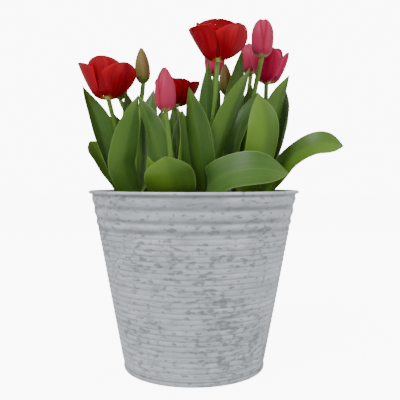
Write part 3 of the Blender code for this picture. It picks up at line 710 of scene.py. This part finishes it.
def pot_profile():
    """(radius, height) up the pot, over its rolled rim and down the inside, and where that starts."""
    profile = foot_profile()
    height, top = FOOT_SEAM_HEIGHT + 0.0003, WALL_TOP - 0.0002
    while height < top:
        profile.append((wall_radius(height) + band_relief(height), height))
        height += OUTSIDE_STEP
    bead_radius, bead_height = RIM_RADIUS - RIM_BEAD, POT_HEIGHT - RIM_BEAD
    for degrees in range(-110, 200, 20):
        angle = radians(degrees)
        profile.append((bead_radius + RIM_BEAD * cos(angle), bead_height + RIM_BEAD * sin(angle)))
    inside = len(profile) - 2
    height = top
    while height > WALL_THICKNESS + 0.0002:
        relief = band_relief(height) if height > FIRST_RIB else INSIDE_RELIEF
        profile.append((wall_radius(height) - WALL_THICKNESS + relief, height))
        height -= INSIDE_STEP if height > BURIED_INSIDE else BURIED_STEP
    profile.append((wall_radius(WALL_THICKNESS) - WALL_THICKNESS - 0.0004, WALL_THICKNESS))
    return profile, inside


def make_pot(finish):
    """The pot with small dents in its wall. A tint of 1 marks its inside, for the painted shade there."""
    shape = Shape()
    profile, inside = pot_profile()
    points, faces, places = turned(profile, POT_SIDES)
    dented = []
    for x, y, z in points:
        ease = min(1.0, z / 0.01, (POT_HEIGHT - z) / 0.01)
        dent = noise.noise(Vector((x * 22, y * 22, z * 12))) * DENT_DEPTH * ease
        out = 1 + dent / hypot(x, y)
        dented.append((x * out, y * out, z))
    shape.add(dented, faces, places, 0.0, 0)
    shape.tints[inside * POT_SIDES:] = [1.0] * (len(points) - inside * POT_SIDES)
    made = shape.make("pot_fine", [finish], sharp=70)
    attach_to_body(made, "root")
    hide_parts("pot")


def soil_height(x, y):
    """How high the crumbly top of the soil stands at a place. It drops a little towards the wall."""
    lumps = noise.fractal(Vector((x * 60, y * 60, 0.3)), 0.9, 2.1, 5) * LUMP_HEIGHT
    heap = -0.0004 - 0.0018 * (hypot(x, y) / 0.093) ** 6
    return SOIL_TOP - 0.0010 + lumps + heap


def soil_block(reach):
    """Points, faces and places of the soil: its top in rings from the middle out, its side and floor."""
    points, places = [(0.0, 0.0, soil_height(0, 0))], [(0.5, 0.5)]
    for row in range(1, SOIL_RINGS + 1):
        for x, y, _ in ring(reach * row / SOIL_RINGS, 0.0, SOIL_SIDES):
            points.append((x, y, soil_height(x, y)))
            places.append((0.5 + x / reach / 2, 0.5 + y / reach / 2))
    below, floor = SOIL_TOP - 0.01, WALL_THICKNESS + 0.0004
    foot = wall_radius(floor) - WALL_THICKNESS - 0.0010
    for radius, height in ((wall_radius(below) - 0.004, below), (foot - 0.003, floor)):
        points += ring(radius, height, SOIL_SIDES)
        places += [(k / SOIL_SIDES, 0.0) for k in range(SOIL_SIDES)]
    faces = [(0, 1 + k, 1 + (k + 1) % SOIL_SIDES) for k in range(SOIL_SIDES)]
    for row in range(SOIL_RINGS + 1):
        start = 1 + row * SOIL_SIDES
        for k in range(SOIL_SIDES):
            a, b = start + k, start + (k + 1) % SOIL_SIDES
            faces.append((a, a + SOIL_SIDES, b + SOIL_SIDES, b))
    last = len(points) - SOIL_SIDES
    faces.append(tuple(last + k for k in reversed(range(SOIL_SIDES))))
    return points, faces, places


def add_crumbs(shape, reach):
    """Eight-sided crumbs strewn over the soil, each with its own size, stretch, turn and tint."""
    scatter = random.Random("crumbs")
    ball = ((1, 0, 0), (-1, 0, 0), (0, 1, 0), (0, -1, 0), (0, 0, 1), (0, 0, -1))
    sides = ((0, 2, 4), (2, 1, 4), (1, 3, 4), (3, 0, 4), (2, 0, 5), (1, 2, 5), (3, 1, 5), (0, 3, 5))
    for _ in range(CRUMBS):
        angle, far = scatter.uniform(0, CRUMB_TURN), reach * 0.97 * sqrt(scatter.random())
        size = scatter.uniform(*CRUMB_SIZE)
        centre = Vector((far * cos(angle), far * sin(angle), 0))
        centre.z = soil_height(centre.x, centre.y) + size * 0.2
        stretch = [scatter.uniform(0.7, 1.3), scatter.uniform(0.7, 1.3), scatter.uniform(0.5, 1.0)]
        turn = Matrix.Rotation(scatter.uniform(0, CRUMB_TURN), 3, "Z")
        roll = turn @ Matrix.Rotation(scatter.uniform(0, 1.5), 3, "X")
        corners = [centre + roll @ Vector([a * b for a, b in zip(corner, stretch)]) * size
                   for corner in ball]
        shape.add(corners, sides, [(0.5, 0.5)] * len(ball), scatter.random(), 0)


def make_soil(finish):
    """The soil that fills the pot, with its crumbs."""
    shape = Shape()
    reach = wall_radius(SOIL_TOP) - WALL_THICKNESS - GAP - BAND_DIP * WIDE_BAND_BULGE
    shape.add(*soil_block(reach), 0.5, 0)
    add_crumbs(shape, reach)
    made = shape.make("soil_fine", [finish], sharp=30)
    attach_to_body(made, "root")
    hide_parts("soil")


# Finishes

class Finish:
    """A material built up node by node round its Principled shader. Its masks run from 0 to 1."""

    def __init__(self, name):
        self.material = bpy.data.materials.new(name)
        self.material.use_nodes = True
        self.tree = self.material.node_tree
        self.shader = self.tree.nodes["Principled BSDF"]
        self.uv = self.metres = None

    def add(self, kind, values=None, **settings):
        """A node with its settings, and with a value or a link in each of the named sockets."""
        made = self.tree.nodes.new("ShaderNode" + kind)
        for name, value in settings.items():
            setattr(made, name, value)
        for socket, value in (values or {}).items():
            if isinstance(value, bpy.types.NodeSocket):
                self.tree.links.new(value, made.inputs[socket])
            else:
                made.inputs[socket].default_value = value
        return made

    def join(self, source, socket):
        self.tree.links.new(source, self.shader.inputs[socket])

    def set(self, **values):
        for name, value in values.items():
            self.shader.inputs[name.replace("_", " ")].default_value = value

    def maths(self, operation, a, b=0.0, c=0.0):
        return self.add("Math", {0: a, 1: b, 2: c}, operation=operation).outputs[0]

    def mix(self, share, a, b):
        return self.add("Mix", {0: share, 6: a, 7: b}, data_type="RGBA").outputs[2]

    def layered(self, body, layers):
        """The body under layers of (mask, share, colour): a share of each colour, where its mask is 1."""
        for mask, share, colour in layers:
            body = self.mix(self.maths("MULTIPLY", mask, share), body, colour)
        return body

    def place(self):
        """The place on the blade: across it and along it, each from 0 to 1."""
        if self.uv is None:
            uv = self.add("UVMap", uv_map="UVMap")
            self.uv = self.add("SeparateXYZ", {0: uv.outputs[0]})
        return self.uv.outputs[0], self.uv.outputs[1]

    def from_middle(self):
        """How far a place lies from the blade's midrib, up to 0.5 at its edges."""
        return self.maths("ABSOLUTE", self.maths("SUBTRACT", self.place()[0], 0.5))

    def space(self):
        """The place on the object, in metres."""
        if self.metres is None:
            self.metres = self.add("TexCoord").outputs["Object"]
        return self.metres

    def tint(self):
        return self.add("Attribute", attribute_name="tint").outputs["Fac"]

    def noise(self, scale, detail=3.0, flat=1.0):
        """Soft noise, its patches flattened in height where flat is over 1."""
        vector = self.add("Mapping", {"Vector": self.space(), "Scale": (1.0, 1.0, flat)}).outputs[0]
        return self.add("TexNoise", {"Vector": vector, "Scale": scale, "Detail": detail}).outputs[0]

    def streaks(self, lines, wander, detail=2.0, vary=9.7):
        """Fine streaks that run along a blade, and differ from tint to tint as vary says."""
        across, along = self.place()
        place = self.add("CombineXYZ", {0: self.maths("MULTIPLY", across, lines),
                                        1: self.maths("MULTIPLY", along, wander),
                                        2: self.maths("MULTIPLY", self.tint(), vary)})
        values = {"Vector": place.outputs[0], "Scale": 1.0, "Detail": detail}
        return self.add("TexNoise", values).outputs[0]

    def ramp(self, value, low, high):
        """0 up to low and 1 from high on, with a smooth step between them."""
        made = self.add("MapRange", {0: value, 1: low, 2: high}, interpolation_type="SMOOTHSTEP")
        return made.outputs[0]

    def bump(self, height, strength, distance):
        made = self.add("Bump", {"Height": height, "Strength": strength, "Distance": distance})
        self.join(made.outputs[0], "Normal")


def leaf_finish():
    """A smooth waxy leaf: dark to yellow-green by its tint, lighter along the midrib, margin and foot."""
    finish = Finish("leaf_waxy")
    across, along = finish.place()
    middle = finish.from_middle()
    patches = finish.ramp(finish.noise(17.0, 2.0), 0.38, 0.66)
    veins = finish.streaks(40.0, 1.4)
    shaded_half = finish.ramp(across, 0.62, 0.30)
    tip, foot = finish.ramp(along, 0.78, 1.0), finish.ramp(along, 0.18, 0.0)
    midrib, margin = finish.ramp(middle, 0.035, 0.0), finish.ramp(middle, 0.468, 0.494)
    body = finish.mix(finish.tint(), (0.01, 0.048, 0.012, 1), (0.14, 0.262, 0.022, 1))
    body = finish.layered(body, (
        (shaded_half, 0.42, (0.006, 0.032, 0.008, 1)),
        (patches, 0.42, (0.07, 0.16, 0.022, 1)),
        (finish.ramp(veins, 0.40, 0.75), 0.28, (0.095, 0.2, 0.026, 1)),
        (tip, 0.30, (0.15, 0.23, 0.03, 1)),
        (midrib, 0.20, (0.13, 0.23, 0.05, 1)),
        # A pale margin: partly the leaf's own, partly painted light caught along its edges
        (margin, 0.50, (0.23, 0.32, 0.09, 1)),
        (foot, 0.45, (0.17, 0.25, 0.05, 1)),
    ))
    finish.join(body, "Base Color")
    finish.join(finish.maths("MULTIPLY_ADD", patches, 0.10, 0.34), "Roughness")
    finish.bump(finish.maths("ADD", finish.maths("MULTIPLY", veins, 0.8), finish.noise(160.0, 2.0)),
                0.12, 0.0005)
    finish.set(**GREEN_TISSUE, Specular_IOR_Level=0.24)
    return finish.material


def stem_finish():
    """A fibrous green stem, paler at its foot and yellower under its bloom."""
    finish = Finish("stem_green")
    along = finish.place()[1]
    fibres = finish.streaks(26.0, 3.0, detail=3.0, vary=0.0)
    body = finish.mix(finish.ramp(fibres, 0.3, 0.7), (0.055, 0.14, 0.01, 1), (0.125, 0.23, 0.028, 1))
    body = finish.layered(body, (
        (finish.ramp(along, 0.25, 0.0), 1.0, (0.2, 0.26, 0.06, 1)),
        (finish.ramp(along, 0.90, 1.0), 0.4, (0.19, 0.25, 0.04, 1)),
    ))
    finish.join(body, "Base Color")
    finish.bump(fibres, 0.2, 0.0003)
    finish.set(**GREEN_TISSUE, Specular_IOR_Level=0.25, Roughness=0.45)
    return finish.material


def petal_finish(name, deep, bright, edge, foot, foot_reach, flame):
    """A silky petal: streaks of deep and bright, its own edge colour and foot, and a flame of deep.

    foot_reach is how far up the foot's colour goes, and flame how strong the deep one is up the middle.
    """
    finish = Finish(name)
    middle = finish.from_middle()
    streaks = finish.streaks(14.0, 0.9)
    reach = finish.maths("ADD", finish.place()[1], finish.maths("MULTIPLY_ADD", streaks, 0.22, -0.11))
    body = finish.mix(finish.ramp(streaks, 0.18, 0.80), deep, bright)
    body = finish.layered(body, (
        (finish.ramp(middle, 0.16, 0.0), flame, deep),
        (finish.ramp(middle, 0.32, 0.50), 0.60, edge),
        (finish.ramp(reach, foot_reach, foot_reach * 0.35), 1.0, foot),
        (finish.tint(), 0.25, bright),
    ))
    finish.join(body, "Base Color")
    finish.join(finish.maths("MULTIPLY_ADD", streaks, 0.15, 0.38), "Roughness")
    finish.bump(streaks, 0.18, 0.0004)
    finish.set(Subsurface_Weight=0.08, Subsurface_Radius=(1.0, 0.05, 0.02), Subsurface_Scale=0.002,
               Specular_IOR_Level=0.14)
    return finish.material


def plain_finish(name, dark, light, scale, roughness):
    """Two colours in soft spots, with a fine grain."""
    finish = Finish(name)
    finish.join(finish.mix(finish.ramp(finish.noise(scale, 4.0), 0.3, 0.7), dark, light), "Base Color")
    finish.set(Roughness=roughness)
    finish.bump(finish.noise(scale * 2), 0.3, 0.0004)
    return finish.material


def soil_finish():
    """Dark moist soil, with the crumbs of the highest tints paler."""
    finish = Finish("soil_crumbs")
    coarse = finish.noise(260.0, 6.0)
    body = finish.mix(finish.ramp(coarse, 0.35, 0.70), (0.012, 0.008, 0.005, 1), (0.06, 0.038, 0.022, 1))
    body = finish.mix(finish.ramp(finish.tint(), 0.80, 0.98), body, (0.13, 0.09, 0.05, 1))
    finish.join(body, "Base Color")
    finish.bump(finish.noise(600.0, 8.0), 0.9, 0.0015)
    finish.set(Roughness=0.95)
    return finish.material


def band_mask(finish, height, middle, reach):
    """1 at a height round the pot, fading to 0 at its reach above and below."""
    away = finish.maths("ABSOLUTE", finish.maths("SUBTRACT", height, middle))
    return finish.ramp(away, reach, 0.0)


def rib_grooves(finish, height):
    """1 in the middle of each groove between the fine ribs."""
    above = finish.maths("SUBTRACT", height, FIRST_RIB - 40 * RIB_PITCH)
    phase = finish.maths("FRACT", finish.maths("DIVIDE", above, RIB_PITCH))
    near = finish.maths("MINIMUM", phase, finish.maths("SUBTRACT", 1.0, phase))
    ribbed = finish.ramp(height, FIRST_RIB + RIB_PITCH * 0.5, FIRST_RIB + RIB_PITCH * 0.3)
    return finish.maths("MULTIPLY", finish.ramp(near, 0.24, 0.02), ribbed)


def groove_shade_and_dark_bands(finish, body, smudge):
    """Painted shade in the grooves and under the rim, darker upper bands, a dark line over the foot seam.
    """
    height = finish.add("SeparateXYZ", {0: finish.space()}).outputs[2]
    # Painted shade in the grooves, its strength uneven round the pot
    groove_shade_share = finish.maths("MULTIPLY_ADD", finish.ramp(finish.noise(16.0, flat=3.0), 0.36, 0.66), 0.44, 0.24)
    # Painted shadow just under the rolled rim, and painted shade in the wide grooves
    wide = band_mask(finish, height, WALL_TOP - 0.0006, 0.0022)
    for middle in WIDE_GROOVES[:-1]:
        wide = finish.maths("MAXIMUM", wide, band_mask(finish, height, middle, 0.0038))
    seam = band_mask(finish, height, FOOT_SEAM_HEIGHT + 0.0005, 0.0016)
    smudge_share = finish.maths("MULTIPLY_ADD", smudge, 0.40, 0.12)
    return finish.layered(body, (
        # Painted shade in the fine grooves between the ribs
        (rib_grooves(finish, height), groove_shade_share, (0.26, 0.278, 0.29, 1)),
        (wide, finish.maths("ADD", groove_shade_share, 0.22), (0.2, 0.214, 0.224, 1)),
        (finish.ramp(height, 0.138, 0.163), smudge_share, (0.25, 0.27, 0.285, 1)),
        (seam, 0.60, (0.13, 0.135, 0.135, 1)),
    ))


def zinc_finish():
    """Weathered zinc: smudges and chalk drawn round the pot, dark smears and flecks, a painted shade
    inside.
    """
    finish = Finish("zinc_galvanised")
    cells = finish.add("TexVoronoi", {"Vector": finish.space(), "Scale": 130.0}).outputs["Color"]
    spangle = finish.add("SeparateColor", {0: cells}).outputs[0]
    smudge = finish.ramp(finish.noise(11.0, 5.0, flat=6.0), 0.46, 0.72)
    chalk = finish.ramp(finish.noise(30.0, 5.0, flat=3.0), 0.48, 0.74)
    patchy = finish.maths("MULTIPLY", finish.noise(17.0), 0.40)
    smears = finish.ramp(finish.maths("ADD", finish.noise(75.0, 4.0, flat=2.8), patchy), 0.660, 0.900)
    flecks = finish.ramp(finish.maths("ADD", finish.noise(150.0, 4.0, flat=2.2), patchy), 0.740, 0.835)
    body = finish.mix(spangle, (0.505, 0.542, 0.574, 1), (0.57, 0.608, 0.64, 1))
    body = finish.layered(body, (
        (smudge, 0.35, (0.36, 0.386, 0.402, 1)),
        (chalk, 0.50, (0.79, 0.825, 0.85, 1)),
        (smears, 0.38, (0.23, 0.246, 0.262, 1)),
        (flecks, 0.64, (0.14, 0.152, 0.16, 1)),
    ))
    body = groove_shade_and_dark_bands(finish, body, smudge)
    # Painted shade: the inside of the pot, with a tint of 1, darkened as if shaded by the leaves
    body = finish.layered(body, [(finish.tint(), 0.75, (0.07, 0.072, 0.072, 1))])
    finish.join(body, "Base Color")
    finish.join(finish.maths("MULTIPLY_ADD", smudge, 0.12, 0.48), "Roughness")
    finish.bump(finish.maths("ADD", flecks, finish.maths("MULTIPLY", smudge, 0.6)), 0.10, 0.0004)
    finish.set(Metallic=0.40, Specular_IOR_Level=0.5)
    return finish.material


# Room, camera and light

def grey(value):
    return (value, value, value, 1.0)


def make_stage():
    """A sheet of white studio paper that glows towards the camera alone."""
    finish = Finish("studio_paper")
    finish.join(finish.mix(finish.noise(3.0, 2.0), grey(0.80), grey(0.84)), "Base Color")
    finish.set(Roughness=0.95, Emission_Color=grey(1.0), Emission_Strength=PAPER_GLOW)
    mesh = bpy.data.meshes.new("floor")
    corners = ((-1, -1), (1, -1), (1, 1), (-1, 1))
    points = [(x * FLOOR_REACH, y * FLOOR_REACH, FLOOR_HEIGHT) for x, y in corners]
    mesh.from_pydata(points, [], [(0, 1, 2, 3)])
    mesh.materials.append(finish.material)
    floor = bpy.data.objects.new("floor", mesh)
    floor.visible_diffuse = False
    floor.visible_glossy = False
    bpy.context.scene.collection.objects.link(floor)


def add_light(name, place, size, power):
    """A round soft light, turned towards the middle of the tulips and the pot."""
    data = bpy.data.lights.new(name, "AREA")
    data.shape = "DISK"
    data.size = size
    data.energy = power
    lamp = bpy.data.objects.new(name, data)
    lamp.location = place
    lamp.rotation_euler = (Vector(LIGHT_AIM) - Vector(place)).to_track_quat("-Z", "Y").to_euler()
    bpy.context.scene.collection.objects.link(lamp)


def make_camera():
    data = bpy.data.cameras.new("camera")
    data.sensor_width = SENSOR_MM
    data.lens = FOCAL_SHARE * SENSOR_MM
    camera = bpy.data.objects.new("camera", data)
    camera.location = CAMERA_PLACE
    camera.rotation_euler = (pi / 2 - CAMERA_DROP, 0, 0)
    bpy.context.scene.collection.objects.link(camera)
    bpy.context.scene.camera = camera


def make_world():
    """A soft white studio: brighter where it is seen than where it lights the pot."""
    world = bpy.data.worlds.new("studio")
    world.use_nodes = True
    tree = world.node_tree
    backdrop = tree.nodes["Background"]
    backdrop.inputs["Color"].default_value = (0.98, 0.985, 1.0, 1.0)
    seen = tree.nodes.new("ShaderNodeLightPath")
    strength = tree.nodes.new("ShaderNodeMapRange")
    strength.inputs["To Min"].default_value = STUDIO_LIGHT
    strength.inputs["To Max"].default_value = BACKDROP_GLOW
    tree.links.new(seen.outputs["Is Camera Ray"], strength.inputs["Value"])
    tree.links.new(strength.outputs[0], backdrop.inputs["Strength"])
    bpy.context.scene.world = world


make_world()
make_camera()
make_stage()
for light in LIGHTS:
    add_light(*light)

petal_finishes = {
    RED: petal_finish(
        "petal_deep_red", deep=(0.19, 0, 0.004, 1), bright=(0.43, 0, 0.01, 1),
        edge=(0.5, 0.002, 0.014, 1), foot=(0.46, 0.24, 0.01, 1), foot_reach=0.09, flame=0.50),
    ROSE: petal_finish(
        "petal_rose", deep=(0.27, 0, 0.022, 1), bright=(0.48, 0.003, 0.052, 1),
        edge=(0.6, 0.05, 0.15, 1), foot=(0.46, 0.38, 0.11, 1), foot_reach=0.12, flame=0.50),
    PINK: petal_finish(
        "petal_pink_bud", deep=(0.32, 0.034, 0.066, 1), bright=(0.47, 0.02, 0.082, 1),
        edge=(0.19, 0, 0.01, 1), foot=(0.33, 0.36, 0.11, 1), foot_reach=0.17, flame=0.35),
    BUD_GREEN: petal_finish(
        "petal_green_bud", deep=(0.12, 0.096, 0.026, 1), bright=(0.225, 0.165, 0.052, 1),
        edge=(0.29, 0.012, 0.022, 1), foot=(0.1, 0.16, 0.02, 1), foot_reach=0.26, flame=0.30),
}
pistil = plain_finish("pistil", (0.38, 0.42, 0.13, 1), (0.56, 0.56, 0.22, 1), 300.0, 0.5)
anther = plain_finish("anther", (0.02, 0.01, 0.016, 1), (0.07, 0.035, 0.04, 1), 900.0, 0.9)
papery = plain_finish("bulb_skin_papery", (0.25, 0.11, 0.04, 1), (0.48, 0.27, 0.12, 1), 140.0, 0.6)
green_parts = [stem_finish(), leaf_finish()]

make_pot(zinc_finish())
make_soil(soil_finish())
for name, tulip in TULIPS.items():
    make_leafy_stem(name, tulip, green_parts)
    make_bloom(name, tulip, [petal_finishes[tulip["bloom"]["colour"]], pistil, anther])
    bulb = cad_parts["bulb_" + name]
    bulb.data.materials.clear()
    bulb.data.materials.append(papery)
